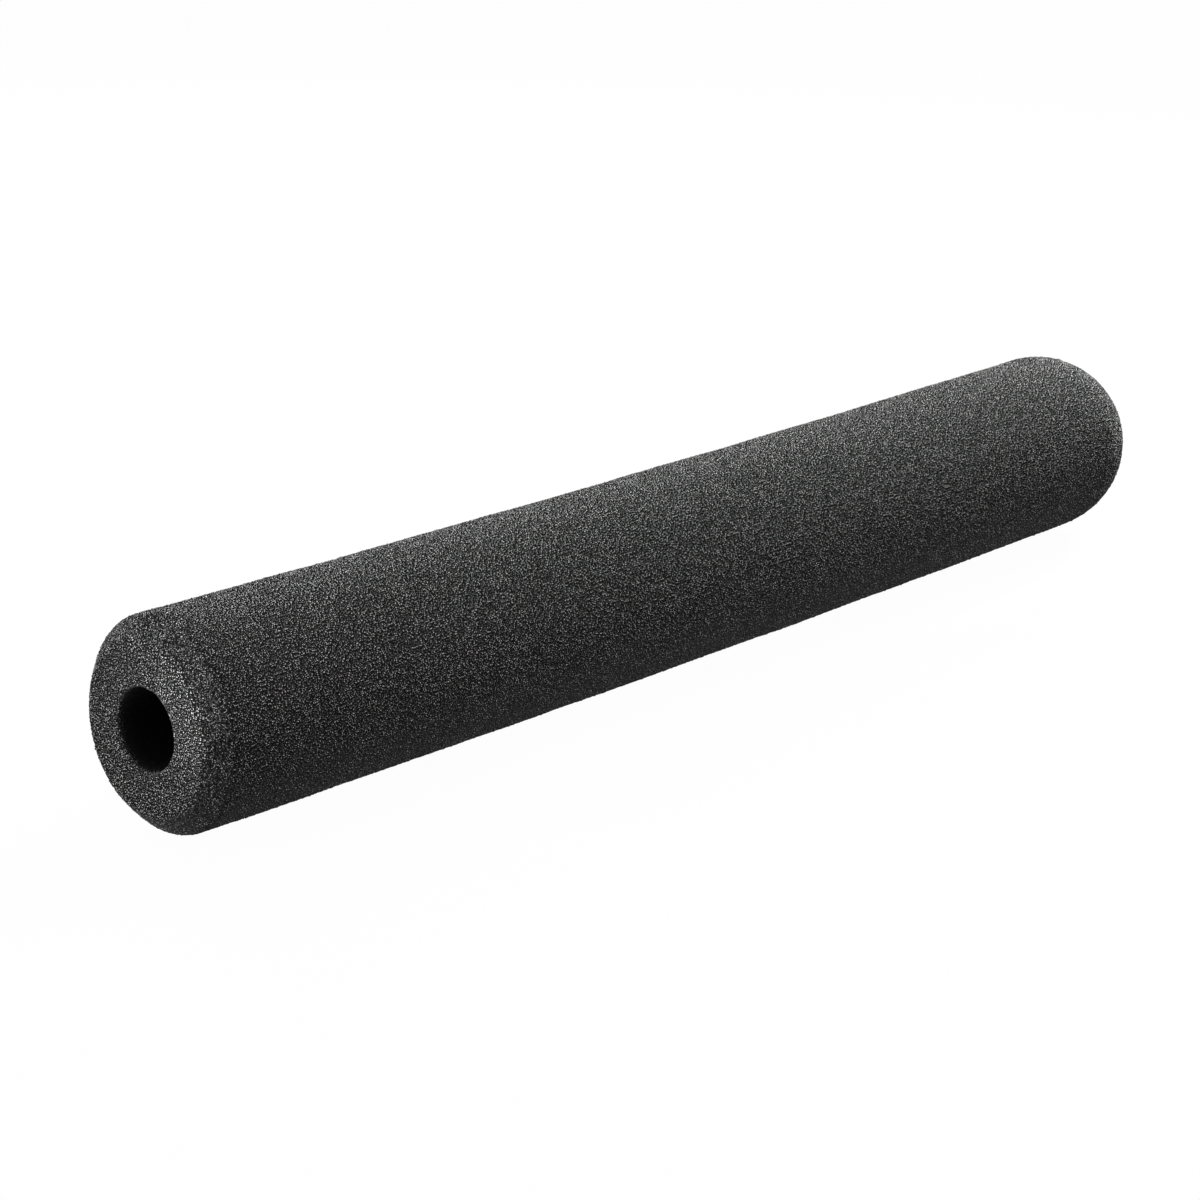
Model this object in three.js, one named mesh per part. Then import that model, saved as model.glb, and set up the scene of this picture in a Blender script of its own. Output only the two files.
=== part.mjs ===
// Foam windscreen for a long shotgun microphone: one piece of open-cell foam with a blind bore.
// Millimetres, +Z up. It lies along X: open end towards -X, domed tip towards +X, and the origin
// is on the axis at mid length.

import * as THREE from 'three';

// Driving dimensions
const outerDiameter = 50;
const overallLength = 360;
const boreDiameter = 19; // relaxed; it stretches over a barrel of 19 to 22
const tipWall = 22; // foam between the bore's blind end and the tip
const bevel = 5; // 45 degree cut round the open end, measured along the axis and across it
const softEdge = 1; // how far the rounding reaches either side of each edge

// Fineness of the facets
const roundSegments = 64;
const domeSegments = 14;
const edgeSegments = 3;

// Places worked out from them
const outerRadius = outerDiameter / 2;
const boreRadius = boreDiameter / 2;
const faceRadius = outerRadius - bevel;
const openEnd = -overallLength / 2;
const tip = overallLength / 2;
const boreEnd = tip - tipWall;
const domeCentre = tip - outerRadius;

// A point of the half outline: distance from the axis, then place along it.
function point(radius, along) {
  return new THREE.Vector2(radius, along);
}

// Points of a softened corner between two straight stretches of the outline.
function roundedCorner(before, corner, after) {
  const start = corner.clone().add(before.clone().sub(corner).setLength(softEdge));
  const end = corner.clone().add(after.clone().sub(corner).setLength(softEdge));
  return new THREE.QuadraticBezierCurve(start, corner, end).getPoints(edgeSegments);
}

// Points of the hemispherical tip, from the side of the tube to the axis.
function tipDome() {
  const quarterTurn = new THREE.EllipseCurve(
    0, domeCentre, outerRadius, outerRadius, 0, Math.PI / 2
  );
  const points = quarterTurn.getPoints(domeSegments);
  points[domeSegments] = point(0, tip);
  return points;
}

// Half outline of the foam, from the axis at the bore's blind end, out of the mouth, round the
// bevelled open end and along the side to the axis at the tip.
function foamOutline() {
  const boreCorner = point(boreRadius, boreEnd);
  const mouth = point(boreRadius, openEnd);
  const faceEdge = point(faceRadius, openEnd);
  const bevelEdge = point(outerRadius, openEnd + bevel);
  const sideEnd = point(outerRadius, domeCentre);
  return [
    point(0, boreEnd),
    boreCorner,
    ...roundedCorner(boreCorner, mouth, faceEdge),
    ...roundedCorner(mouth, faceEdge, bevelEdge),
    ...roundedCorner(faceEdge, bevelEdge, sideEnd),
    ...tipDome(),
  ];
}

// The lathe turns the outline about Y. Half a facet of turn puts a flat strip underneath, as
// soft foam flattens where it lies, and the last turn lays the axis along +X.
function foamWindscreen() {
  const halfFacet = Math.PI / roundSegments;
  const geometry = new THREE.LatheGeometry(foamOutline(), roundSegments, halfFacet);
  geometry.rotateZ(-Math.PI / 2);
  const charcoalFoam = new THREE.MeshStandardMaterial({
    color: 0x3c3c3d,
    roughness: 1,
    metalness: 0,
  });
  const mesh = new THREE.Mesh(geometry, charcoalFoam);
  mesh.name = 'foam_windscreen';
  return mesh;
}

const group = new THREE.Group();
group.add(foamWindscreen());

export default group;
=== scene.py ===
"""Looks of a foam microphone windscreen: one sleeve of coarse open-cell foam on a pale floor.

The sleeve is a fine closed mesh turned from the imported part's own outline. The foam's cells are
pressed into it as real relief, and a procedural foam material carries the finer struts and pores.
All lengths are in metres. The axis lies along X, with the open end at -X and the domed tip at +X.
"""

import itertools
import math

import bpy
import numpy as np
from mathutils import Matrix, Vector


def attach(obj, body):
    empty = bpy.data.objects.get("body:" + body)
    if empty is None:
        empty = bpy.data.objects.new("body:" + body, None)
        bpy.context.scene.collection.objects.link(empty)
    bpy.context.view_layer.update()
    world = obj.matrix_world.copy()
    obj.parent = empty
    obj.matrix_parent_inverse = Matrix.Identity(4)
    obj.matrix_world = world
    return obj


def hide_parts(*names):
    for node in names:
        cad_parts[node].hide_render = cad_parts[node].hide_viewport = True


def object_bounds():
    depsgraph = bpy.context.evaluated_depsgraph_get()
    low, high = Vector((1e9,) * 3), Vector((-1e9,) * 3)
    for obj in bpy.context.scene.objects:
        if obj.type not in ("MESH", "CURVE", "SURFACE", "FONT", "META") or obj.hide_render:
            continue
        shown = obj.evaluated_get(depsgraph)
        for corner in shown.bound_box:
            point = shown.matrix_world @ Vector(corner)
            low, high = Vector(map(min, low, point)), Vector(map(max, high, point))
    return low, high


NODE = "foam_windscreen"
PIECE = "foam_sleeve"
SLOT = "open_cell_foam"
MM = 0.001

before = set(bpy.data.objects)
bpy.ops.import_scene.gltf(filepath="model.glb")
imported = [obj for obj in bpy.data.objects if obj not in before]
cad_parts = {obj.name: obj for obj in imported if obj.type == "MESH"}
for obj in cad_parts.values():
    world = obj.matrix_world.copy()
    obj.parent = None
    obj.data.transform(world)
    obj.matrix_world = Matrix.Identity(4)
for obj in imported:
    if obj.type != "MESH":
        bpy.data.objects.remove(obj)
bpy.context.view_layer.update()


# ---------------------------------------------------------------------------------------------
# Sizes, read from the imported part
# ---------------------------------------------------------------------------------------------

def cad_rings():
    """The rings of the turned CAD solid, as rows of (place along the axis, distance from it)."""
    points = np.array([vertex.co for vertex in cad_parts[NODE].data.vertices])
    rings = np.c_[points[:, 0], np.hypot(points[:, 1], points[:, 2])]
    return np.unique(rings.round(6), axis=0)


rings = cad_rings()
open_end = rings[:, 0].min()
tip = rings[:, 0].max()
outer_radius = rings[:, 1].max()
near_half = rings[rings[:, 0] < 0]
bore_radius = near_half[:, 1].min()
bore_end = rings[np.isclose(rings[:, 1], bore_radius), 0].max()
flat_ring = near_half[np.isclose(near_half[:, 0], open_end), 1]
soft_edge = flat_ring.min() - bore_radius
face_radius = flat_ring.max() + soft_edge
bevel = outer_radius - face_radius
dome_centre = tip - outer_radius
length = tip - open_end

# The foam itself
cell_size = 0.55 * MM
cell_depth = 0.10 * MM
pore_rim = 0.6  # share of the way from a wall to mid pore over which the skin slopes down
roughness = 0.085 * MM  # how far torn struts stand out of the skin or lie below it
unevenness = 0.10 * MM  # how far the skin wanders in and out, in waves about 30 mm long
unevenness_size = 30 * MM
surface_knots = 0.48 * MM  # how far apart the struts' cut ends lie on the side and the end faces
inner_knots = 0.31 * MM  # and how far apart through the thickness, which the slanting cuts show
shade_depth = 0.9 * MM  # how deep into the bore the light falls to about a third
bow = 1.25 * MM  # how far the middle sags below the ends
lean_up = 0.018  # how far out of square the open end is cut: its upper edge reaches further in
lean_across = 0.027  # and so does its far edge
lean_reach = 30 * MM

# Fineness of the mesh
fine_step = 0.40 * MM
deep_step = 4.0 * MM
fine_bore_depth = 25 * MM
most_segments = 384
fewest_segments = 12
hair = 1e-6  # for telling whether a point lies in the bore


# ---------------------------------------------------------------------------------------------
# The sleeve's mesh
# ---------------------------------------------------------------------------------------------

def straight(start, end):
    """Closely spaced points from start up to, not including, end."""
    start, end = np.array(start), np.array(end)
    count = max(2, int(np.linalg.norm(end - start) / (fine_step / 8)))
    return start + np.linspace(0, 1, count, endpoint=False)[:, None] * (end - start)


def corner(before, at, after):
    """Closely spaced points round a softened corner, which reach soft_edge either side of it."""
    before, at, after = np.array(before), np.array(at), np.array(after)
    start = at + (before - at) / np.linalg.norm(before - at) * soft_edge
    end = at + (after - at) / np.linalg.norm(after - at) * soft_edge
    t = np.linspace(0, 1, 24)[:, None]
    return start * (1 - t) ** 2 + at * 2 * t * (1 - t) + end * t**2


def outline():
    """The half outline, from the bore's blind end out of the mouth and along the side to the tip."""
    stops = [
        (bore_end, 0.0),
        (bore_end, bore_radius),
        (open_end, bore_radius),
        (open_end, face_radius),
        (open_end + bevel, outer_radius),
        (dome_centre, outer_radius),
    ]
    pieces = []
    here = np.array(stops[0])
    for before, at, after in zip(stops, stops[1:], stops[2:]):
        turn = corner(before, at, after)
        pieces += [straight(here, turn[0]), turn[:-1]]
        here = turn[-1]
    pieces.append(straight(here, stops[-1]))
    angle = np.linspace(0, math.pi / 2, 800)
    dome = np.c_[
        dome_centre + outer_radius * np.sin(angle),
        outer_radius * np.cos(angle),
    ]
    return np.vstack(pieces + [dome])


def wanted_step(points):
    """How far apart the rings are at each point: fine outside, coarse deep in the bore."""
    inside = (points[:, 1] < bore_radius + hair) & (points[:, 0] < bore_end + hair)
    depth = np.where(inside, points[:, 0] - open_end, 0)
    share = np.clip((depth - fine_bore_depth) / (2 * fine_bore_depth), 0, 1)
    return fine_step + (deep_step - fine_step) * share


def spaced(points):
    """The outline again, with its points as far apart as wanted_step says at each place."""
    step = wanted_step(points)
    lengths = np.linalg.norm(np.diff(points, axis=0), axis=1)
    count = np.concatenate([[0], np.cumsum(lengths / ((step[1:] + step[:-1]) / 2))])
    wanted = np.linspace(0, count[-1], round(count[-1]) + 1)
    return np.c_[
        np.interp(wanted, count, points[:, 0]),
        np.interp(wanted, count, points[:, 1]),
    ]


def ring_segments(points):
    """Segments in each ring, halved or doubled from one to the next so that facets stay square."""
    step = wanted_step(points)
    ideal = 2 * math.pi * points[:, 1] / step
    halvings = np.round(np.log2(most_segments / np.maximum(ideal, 1)))
    counts = most_segments / 2 ** np.clip(halvings, 0, math.log2(most_segments / fewest_segments))
    return counts.astype(int)


def turned_mesh(points, counts):
    """Vertices and faces of the closed body that the outline sweeps round the X axis."""
    vertices = [np.array([[points[0, 0], 0, 0]])]
    starts = []
    total = 1
    for (along, radius), count in zip(points[1:-1], counts[1:-1]):
        angle = 2 * math.pi * np.arange(count) / count
        vertices.append(np.c_[np.full(count, along), radius * np.sin(angle), radius * np.cos(angle)])
        starts.append(total)
        total += count
    vertices.append(np.array([[points[-1, 0], 0, 0]]))
    inner_counts = counts[1:-1]

    faces = [face[::-1] for face in fan(0, starts[0], inner_counts[0])]
    for a, b, na, nb in zip(starts, starts[1:], inner_counts, inner_counts[1:]):
        faces += band(a, b, na, nb)
    faces += fan(total, starts[-1], inner_counts[-1])
    return np.vstack(vertices), faces


def fan(middle, start, count):
    """Triangles between one vertex on the axis and the ring of count vertices from start."""
    here = np.arange(count)
    return np.c_[start + here, start + (here + 1) % count, np.full(count, middle)].tolist()


def band(a, b, na, nb):
    """Faces between the ring of na vertices from a and the next one, of nb vertices from b."""
    few = np.arange(min(na, nb))
    step_on = (few + 1) % len(few)
    if na == nb:
        return np.c_[a + few, a + step_on, b + step_on, b + few].tolist()
    many = 2 * len(few)
    left, middle, right = 2 * few, 2 * few + 1, (2 * few + 2) % many
    if na > nb:
        return np.vstack([
            np.c_[a + left, a + middle, b + few],
            np.c_[a + middle, b + step_on, b + few],
            np.c_[a + middle, a + right, b + step_on],
        ]).tolist()
    return np.vstack([
        np.c_[b + middle, b + left, a + few],
        np.c_[b + middle, a + few, a + step_on],
        np.c_[b + right, b + middle, a + step_on],
    ]).tolist()


def scattered(cells, seed):
    """Three numbers from 0 to 1 for each whole-number cell, always the same for the same cell."""
    stir, step = np.uint64(0x9E3779B97F4A7C15), np.uint64(0xBF58476D1CE4E5B9)
    mixed = np.zeros(len(cells), np.uint64) + np.uint64(seed)
    for column in range(3):
        mixed ^= cells[:, column].astype(np.uint64)
        mixed *= stir
        mixed ^= mixed >> np.uint64(29)
    numbers = []
    for _ in range(3):
        mixed = mixed * step + np.uint64(1)
        numbers.append((mixed >> np.uint64(40)).astype(float) / 2**24)
    return np.stack(numbers, axis=1)


def cell_walls(points, size, seed):
    """How far each point is from the walls of a scattered foam: 0 on a wall, up to 1 mid pore."""
    place = points / size
    home = np.floor(place).astype(np.int64)
    nearest = np.full(len(points), 9.0)
    second = np.full(len(points), 9.0)
    for offset in itertools.product((-1, 0, 1), repeat=3):
        cell = home + np.array(offset)
        distance = np.linalg.norm(place - cell - scattered(cell, seed), axis=1)
        second = np.minimum(second, np.maximum(nearest, distance))
        nearest = np.minimum(nearest, distance)
    return np.clip(second - nearest, 0, 1)


def slow_waves(points, size, random):
    """A smooth unevenness, mostly between -1 and 1, with waves about size long."""
    total = np.zeros(len(points))
    waves = 12
    for _ in range(waves):
        direction = random.normal(size=3)
        direction /= np.linalg.norm(direction)
        wavelength = size * random.uniform(0.6, 2.0)
        phase = random.uniform(0, 2 * math.pi)
        total += np.sin(points @ direction * 2 * math.pi / wavelength + phase)
    return total / math.sqrt(waves * 2)


def surface_normals(mesh, count):
    normals = np.zeros(count * 3, np.float32)
    mesh.vertex_normals.foreach_get("vector", normals)
    return normals.reshape(-1, 3).astype(float)


def bent(points):
    """The points moved to the sag of soft foam, with the open end cut a little out of square."""
    x, y, z = points.T
    share = (x - open_end) / length
    slope = -4 * bow * (1 - 2 * share) / length
    lean = np.clip(1 - (x - open_end) / lean_reach, 0, 1)
    return np.c_[
        x - slope * z + lean * (lean_up * z + lean_across * y),
        y,
        z + bow * (0.5 - 4 * share * (1 - share)),
    ]


def relief(vertices):
    """How far the skin stands out at each vertex, and how deep in a pore it is, from 0 to 1."""
    random = np.random.default_rng(7)
    walls = cell_walls(vertices, cell_size, seed=11)
    pore = np.clip(walls / pore_rim, 0, 1)
    pore = pore * pore * (3 - 2 * pore)
    height = -cell_depth * (pore - 0.5)
    height += unevenness * slow_waves(vertices, unevenness_size, random)
    height += roughness * random.normal(size=len(vertices))
    return height, pore


def store(mesh, name, values):
    """Keeps a number at each vertex, for the material to read."""
    attribute = mesh.attributes.new(name, "FLOAT", "POINT")
    attribute.data.foreach_set("value", values.astype(np.float32))


def make_sleeve():
    """The foam sleeve, with the cells in its surface and the slight bow of soft foam."""
    points = spaced(outline())
    vertices, faces = turned_mesh(points, ring_segments(points))
    mesh = bpy.data.meshes.new(PIECE)
    mesh.from_pydata(vertices.tolist(), [], faces)
    mesh.update()
    normals = surface_normals(mesh, len(vertices))
    height, pore = relief(vertices)
    placed = bent(vertices + normals * height[:, None])
    mesh.vertices.foreach_set("co", placed.astype(np.float32).ravel())
    mesh.update()

    from_axis = np.hypot(vertices[:, 1], vertices[:, 2])
    in_bore = (from_axis < bore_radius + hair) & (vertices[:, 0] < bore_end + hair)
    store(mesh, "pore", pore)
    store(mesh, "depth", np.where(in_bore, vertices[:, 0] - open_end, 0) / shade_depth)
    towards_ends = np.abs(normals[:, 0])
    store(mesh, "side", towards_ends < 0.5)
    store(mesh, "face", towards_ends > 0.8)
    mesh.shade_smooth()
    sleeve = bpy.data.objects.new(PIECE, mesh)
    bpy.context.scene.collection.objects.link(sleeve)
    return sleeve


# ---------------------------------------------------------------------------------------------
# The foam material
# ---------------------------------------------------------------------------------------------

def grey(tone):
    return (tone, tone, tone, 1)


class Wiring:
    """A material's nodes, with short ways to add the kinds that the foam is made of."""

    def __init__(self, material):
        self.nodes = material.node_tree.nodes
        self.links = material.node_tree.links
        self.nodes.clear()

    def plug(self, value, socket):
        """Links another node's output to socket, or sets it to a plain number."""
        if isinstance(value, (int, float)):
            socket.default_value = value
        else:
            self.links.new(value, socket)

    def eased(self, value, low, high, to_low, to_high):
        """value brought smoothly from low..high to to_low..to_high, and held at the two ends."""
        made = self.nodes.new("ShaderNodeMapRange")
        made.interpolation_type = "SMOOTHSTEP"
        for socket, number in zip(made.inputs, (value, low, high, to_low, to_high)):
            self.plug(number, socket)
        return made.outputs["Result"]

    def maths(self, operation, *values):
        made = self.nodes.new("ShaderNodeMath")
        made.operation = operation
        for value, socket in zip(values, made.inputs):
            self.plug(value, socket)
        return made.outputs[0]

    def stored(self, name):
        """A number that the mesh keeps at each vertex."""
        made = self.nodes.new("ShaderNodeAttribute")
        made.attribute_name = name
        return made.outputs["Fac"]

    def coordinates(self, kind):
        return self.nodes.new("ShaderNodeTexCoord").outputs[kind]

    def split(self, vector):
        made = self.nodes.new("ShaderNodeSeparateXYZ")
        self.plug(vector, made.inputs[0])
        return made.outputs

    def flat_place(self, across, along):
        made = self.nodes.new("ShaderNodeCombineXYZ")
        self.plug(across, made.inputs["X"])
        self.plug(along, made.inputs["Y"])
        return made.outputs[0]


def knots(wiring, dimensions, where, size, reach):
    """A scatter of struts' cut ends, palest in the middle, each with a tone of its own, the rare
    brightest being painted glints.
    """
    rarity = 4.5  # the higher it is, the fewer of them shine
    least = 0.22
    extra = 1.35
    scatter = wiring.nodes.new("ShaderNodeTexVoronoi")
    scatter.voronoi_dimensions = dimensions
    scatter.inputs["Scale"].default_value = 1 / size
    wiring.plug(where, scatter.inputs["Vector"])
    chance = wiring.nodes.new("ShaderNodeSeparateColor")
    wiring.plug(scatter.outputs["Color"], chance.inputs["Color"])
    # Painted glints: the rare brightest knots stand in for strut ends catching the light.
    bright = wiring.maths("MULTIPLY", wiring.maths("POWER", chance.outputs["Red"], rarity), extra)
    middle = wiring.eased(scatter.outputs["Distance"], 0.0, reach, 1.0, 0.0)
    return wiring.maths("MULTIPLY", middle, wiring.maths("ADD", least, bright))


def struts(wiring):
    """How pale the foam is at each place: 0 in the gaps, up to about 1.5 on the palest strut, a
    painted glint.
    """
    # Through the thickness the scatter is turned, so that it lines up with no face.
    place = wiring.coordinates("Object")
    turned = wiring.nodes.new("ShaderNodeMapping")
    turned.inputs["Rotation"].default_value = (0.6, 0.9, 0.3)
    wiring.plug(place, turned.inputs["Vector"])
    pale = knots(wiring, "3D", turned.outputs[0], inner_knots, reach=0.46)

    # The side and the end faces have their knots laid out evenly over the surface.
    x, y, z = wiring.split(place)
    round_side = wiring.maths("MULTIPLY", wiring.maths("ARCTAN2", y, z), outer_radius)
    places = {"side": wiring.flat_place(round_side, x), "face": wiring.flat_place(y, z)}
    for name, where in places.items():
        flat = knots(wiring, "2D", where, surface_knots, reach=0.29)
        here = wiring.maths("GREATER_THAN", wiring.stored(name), 0.5)
        change = wiring.maths("MULTIPLY", here, wiring.maths("SUBTRACT", flat, pale))
        pale = wiring.maths("ADD", pale, change)
    return pale


def shaded(wiring, pale):
    """The struts as they show at each place and from each side."""
    # Painted shade: pores of the relief are darker than its crests.
    pale = wiring.maths("MULTIPLY", pale, wiring.eased(wiring.stored("pore"), 0.0, 1.0, 1.0, 0.9))

    # Little light reaches down the bore.
    fading = wiring.maths("EXPONENT", wiring.maths("MULTIPLY", wiring.stored("depth"), -1.0))
    pale = wiring.maths("MULTIPLY", pale, fading)

    # Light thrown back from below is even, and shows less of the struts.
    evened_tone = 0.028
    upward = wiring.split(wiring.coordinates("Normal"))["Z"]
    keep = wiring.eased(upward, -0.9, 0.1, 0.38, 1.0)
    even = wiring.maths("MULTIPLY", wiring.maths("SUBTRACT", 1.0, keep), evened_tone)
    pale = wiring.maths("ADD", wiring.maths("MULTIPLY", pale, keep), even)

    # Seen at a slant, the struts hide the gaps behind them; the paler colour there is also painted
    # sheen.
    full_slant = 1.7
    slant = wiring.nodes.new("ShaderNodeLayerWeight")
    slant.inputs["Blend"].default_value = 0.5
    turned_away = wiring.maths("MINIMUM", slant.outputs["Facing"], 0.8)
    cover_and_sheen = wiring.maths("DIVIDE", full_slant, wiring.maths("SUBTRACT", full_slant, turned_away))
    return wiring.maths("MULTIPLY", pale, cover_and_sheen)


def foam_material():
    """Charcoal open-cell foam: black gaps, grey struts and pale cut strut ends, the palest of them
    painted glints.
    """
    material = bpy.data.materials.new(SLOT)
    material.use_nodes = True
    wiring = Wiring(material)
    pale = shaded(wiring, struts(wiring))

    tone = wiring.nodes.new("ShaderNodeValToRGB")
    gap, strut = tone.color_ramp.elements
    gap.position = 0.0
    gap.color = grey(0.007)
    strut.position = 1.0
    strut.color = grey(0.85)
    wiring.plug(pale, tone.inputs["Fac"])

    bump = wiring.nodes.new("ShaderNodeBump")
    bump.inputs["Strength"].default_value = 0.5
    bump.inputs["Distance"].default_value = 0.15 * MM
    wiring.plug(pale, bump.inputs["Height"])

    # The gloss follows the struts too, so that the gaps stay black.
    shader = wiring.nodes.new("ShaderNodeBsdfPrincipled")
    shader.inputs["Sheen Roughness"].default_value = 0.5
    wiring.plug(wiring.eased(pale, 0.0, 1.0, 1.0, 0.7), shader.inputs["Roughness"])
    wiring.plug(wiring.maths("MULTIPLY", pale, 0.5), shader.inputs["Specular IOR Level"])
    wiring.plug(wiring.maths("MULTIPLY", pale, 0.2), shader.inputs["Sheen Weight"])
    wiring.plug(tone.outputs["Color"], shader.inputs["Base Color"])
    wiring.plug(bump.outputs["Normal"], shader.inputs["Normal"])
    out = wiring.nodes.new("ShaderNodeOutputMaterial")
    wiring.plug(shader.outputs[0], out.inputs["Surface"])
    return material


# ---------------------------------------------------------------------------------------------
# The studio
# ---------------------------------------------------------------------------------------------

def aim(thing, target):
    """Turns a lamp or camera so that it looks at target."""
    thing.rotation_mode = "QUATERNION"
    thing.rotation_quaternion = (Vector(target) - thing.location).to_track_quat("-Z", "Y")


def direction(azimuth, elevation):
    """Unit vector towards a viewer at this azimuth and elevation: azimuth 0 looks along +Y."""
    a, e = math.radians(azimuth), math.radians(elevation)
    return Vector((math.sin(a) * math.cos(e), -math.cos(a) * math.cos(e), math.sin(e)))


def add_camera():
    """A long lens, aimed a little nearer the open end than mid length."""
    data = bpy.data.cameras.new("camera")
    data.lens = 94.2
    data.sensor_width = 36
    data.clip_start, data.clip_end = 0.01, 50
    camera = bpy.data.objects.new("camera", data)
    bpy.context.scene.collection.objects.link(camera)
    target = Vector((-33.06 * MM, 0.40 * MM, -4.06 * MM))
    distance = 0.788
    camera.location = target + direction(-47.44, 17.63) * distance
    aim(camera, target)
    bpy.context.scene.camera = camera


def place_lamp(data, azimuth, elevation, distance, target, watts):
    """Hangs a lamp in this direction from target and turns it to face it."""
    data.energy = watts
    lamp = bpy.data.objects.new(data.name, data)
    bpy.context.scene.collection.objects.link(lamp)
    lamp.location = Vector(target) + direction(azimuth, elevation) * distance
    aim(lamp, target)


def add_soft_lamp(name, side, *placing):
    """A square lamp with this side."""
    data = bpy.data.lights.new(name, "AREA")
    data.size = side
    place_lamp(data, *placing)


def add_spot(name, cone, *placing):
    """A small spot lamp with this angle of cone, in degrees."""
    data = bpy.data.lights.new(name, "SPOT")
    data.spot_size = math.radians(cone)
    data.spot_blend = 1.0
    data.shadow_soft_size = 4 * MM
    place_lamp(data, *placing)


def add_lamps():
    """Soft lamps round the sleeve, and a small pool of light on each end's near upper edge."""
    middle = (0, 0, 0)
    far_half = (100 * MM, 0, 0)
    cut_face = (open_end, 0, 0)
    cut_edge = (open_end, -16 * MM, 12 * MM)
    tip_edge = (tip - 5 * MM, -5 * MM, 12 * MM)
    # Each one's name, side or cone, azimuth, elevation, distance, target and watts
    add_soft_lamp("open end", 0.3, -120, 10, 0.8, cut_face, 7.6)
    add_spot("open end pool", 3.6, -120, 12, 0.5, cut_edge, 10.7)
    add_spot("open end glow", 7.0, -120, 12, 0.5, cut_edge, 6.6)
    add_soft_lamp("front", 0.6, -10, 20, 1.0, middle, 1.8)
    add_soft_lamp("low front", 0.2, 10, 0, 0.5, far_half, 0.37)
    add_soft_lamp("behind", 0.5, 160, 35, 1.0, middle, 13)
    add_soft_lamp("tip", 0.4, 90, 37, 0.8, middle, 10.6)
    add_spot("tip pool", 7.5, 95, 30, 0.5, tip_edge, 27)


def add_world():
    """White to the camera; as a light, a soft even sky and a little thrown back from below."""
    seen_white = 0.991
    from_below = 0.115
    from_above = 0.72
    horizon = 0.02  # half the height of the blend between the two
    world = bpy.data.worlds.new("studio")
    bpy.context.scene.world = world
    world.use_nodes = True
    nodes, links = world.node_tree.nodes, world.node_tree.links
    nodes.clear()
    rays = nodes.new("ShaderNodeLightPath")
    seen = nodes.new("ShaderNodeBackground")
    seen.inputs["Color"].default_value = grey(seen_white)
    sky = nodes.new("ShaderNodeBackground")
    sky.inputs["Color"].default_value = grey(1.0)
    upward = nodes.new("ShaderNodeSeparateXYZ")
    links.new(nodes.new("ShaderNodeTexCoord").outputs["Generated"], upward.inputs[0])
    above = nodes.new("ShaderNodeMapRange")
    above.inputs["From Min"].default_value = -horizon
    above.inputs["From Max"].default_value = horizon
    above.inputs["To Min"].default_value = from_below
    above.inputs["To Max"].default_value = from_above
    links.new(upward.outputs["Z"], above.inputs["Value"])
    links.new(above.outputs["Result"], sky.inputs["Strength"])
    choice = nodes.new("ShaderNodeMixShader")
    links.new(rays.outputs["Is Camera Ray"], choice.inputs["Fac"])
    links.new(sky.outputs[0], choice.inputs[1])
    links.new(seen.outputs[0], choice.inputs[2])
    out = nodes.new("ShaderNodeOutputWorld")
    links.new(choice.outputs[0], out.inputs["Surface"])


def add_floor():
    """A plain pale floor at the sleeve's lowest point, lit nearly as evenly as the sky behind."""
    low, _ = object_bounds()
    half = 6.0
    mesh = bpy.data.meshes.new("floor")
    mesh.from_pydata(
        [(-half, -half, low.z), (half, -half, low.z), (half, half, low.z), (-half, half, low.z)],
        [],
        [(0, 1, 2, 3)],
    )
    floor = bpy.data.objects.new("floor", mesh)
    bpy.context.scene.collection.objects.link(floor)
    material = bpy.data.materials.new("floor_white")
    material.use_nodes = True
    nodes, links = material.node_tree.nodes, material.node_tree.links
    nodes.clear()
    glow = nodes.new("ShaderNodeEmission")
    glow.inputs["Strength"].default_value = 0.978
    matt = nodes.new("ShaderNodeBsdfDiffuse")
    matt.inputs["Color"].default_value = grey(0.01)
    both = nodes.new("ShaderNodeAddShader")
    out = nodes.new("ShaderNodeOutputMaterial")
    links.new(glow.outputs[0], both.inputs[0])
    links.new(matt.outputs[0], both.inputs[1])
    links.new(both.outputs[0], out.inputs["Surface"])
    mesh.materials.append(material)
    # The world's lower half stands for the light that the floor throws back at the sleeve.
    floor.visible_diffuse = False


# ---------------------------------------------------------------------------------------------
# The scene
# ---------------------------------------------------------------------------------------------

sleeve = make_sleeve()
sleeve.data.materials.append(foam_material())
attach(sleeve, "root")
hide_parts(NODE)

add_floor()
add_world()
add_lamps()
add_camera()
bpy.context.scene.view_settings.view_transform = "Standard"
